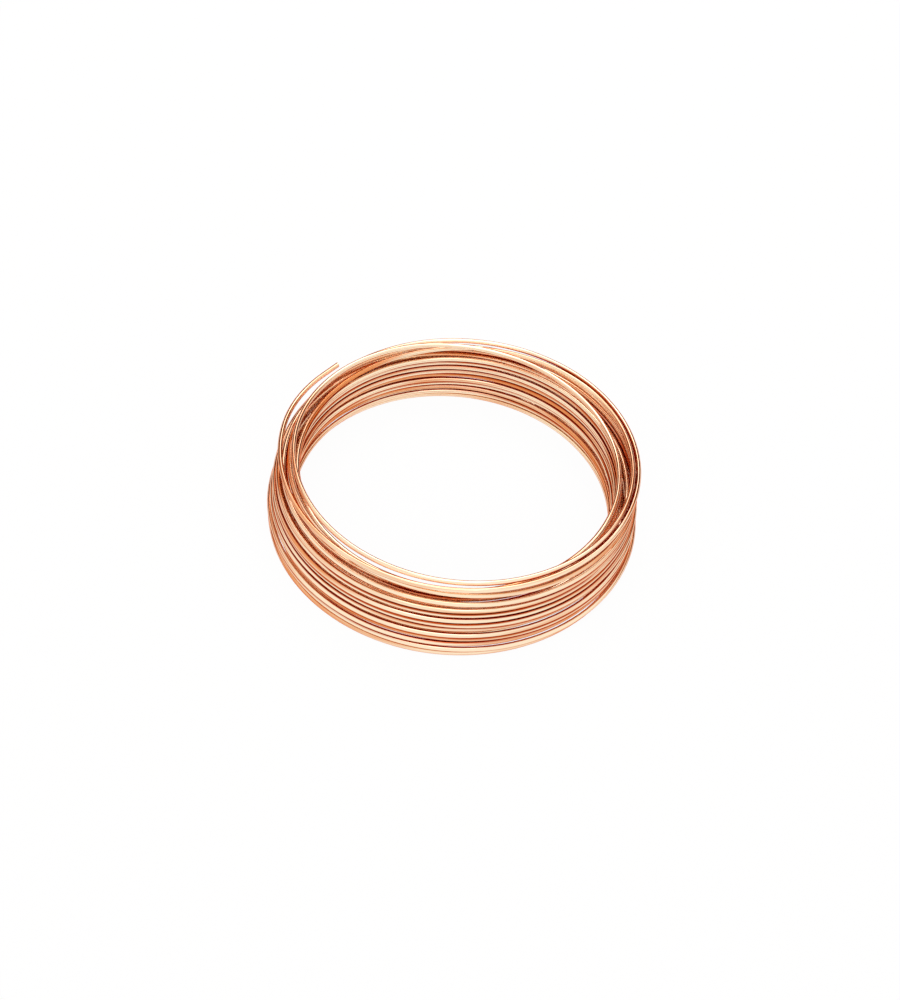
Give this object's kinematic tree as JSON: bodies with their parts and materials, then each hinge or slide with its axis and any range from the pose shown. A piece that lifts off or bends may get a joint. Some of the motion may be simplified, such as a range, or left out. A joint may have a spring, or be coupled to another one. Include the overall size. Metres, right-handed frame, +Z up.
{
  "type": "coil of bare copper wire",
  "caption": "Loose flat-lying coil of bare bright copper wire in stacked, slightly strayed turns, with one free end sprung off the top, for cutting to length.",
  "frame": {"origin": "on the floor under the middle of the coil", "axes": "+Z up along the coil's axis; -Y towards the viewer of the picture; the free end is at the rear left, at -X and +Y"},
  "size_m": [0.1138, 0.1134, 0.025],
  "materials": {
    "copper": "bright drawn"
  },
  "bodies": {
    "root": {"free_end_bend": "copper", "free_end_tip": "copper", "turn_01_front": "copper", "turn_01_rear": "copper", "turn_02_front": "copper", "turn_02_rear": "copper", "turn_03_front": "copper", "turn_03_rear": "copper", "turn_04_front": "copper", "turn_04_rear": "copper", "turn_05_front": "copper", "turn_05_rear": "copper", "turn_06_front": "copper", "turn_06_rear": "copper", "turn_07_front": "copper", "turn_07_rear": "copper", "turn_08_front": "copper", "turn_08_rear": "copper", "turn_09_front": "copper", "turn_09_rear": "copper", "turn_10_front": "copper", "turn_10_rear": "copper", "turn_11_front": "copper", "turn_11_rear": "copper", "turn_12_front": "copper", "turn_12_rear": "copper", "turn_13_front": "copper", "turn_13_rear": "copper", "turn_14_front": "copper", "turn_14_rear": "copper", "turn_15_front": "copper", "turn_15_rear": "copper", "turn_16_front": "copper", "turn_16_rear": "copper", "turn_17_front": "copper", "turn_17_rear": "copper", "turn_18_front": "copper", "turn_18_rear": "copper", "turn_19_front": "copper", "turn_19_rear": "copper", "turn_20_front": "copper", "turn_20_rear": "copper", "turn_21_front": "copper", "turn_21_rear": "copper", "turn_22_front": "copper", "turn_22_rear": "copper", "turn_23_front": "copper", "turn_23_rear": "copper", "turn_24_front": "copper", "turn_24_rear": "copper", "turn_25_front": "copper", "turn_25_rear": "copper", "turn_26_front": "copper", "turn_26_rear": "copper", "turn_27_front": "copper", "turn_27_rear": "copper", "turn_28_front": "copper", "turn_28_rear": "copper", "turn_29_front": "copper", "turn_29_rear": "copper"}
  },
  "joints": []
}
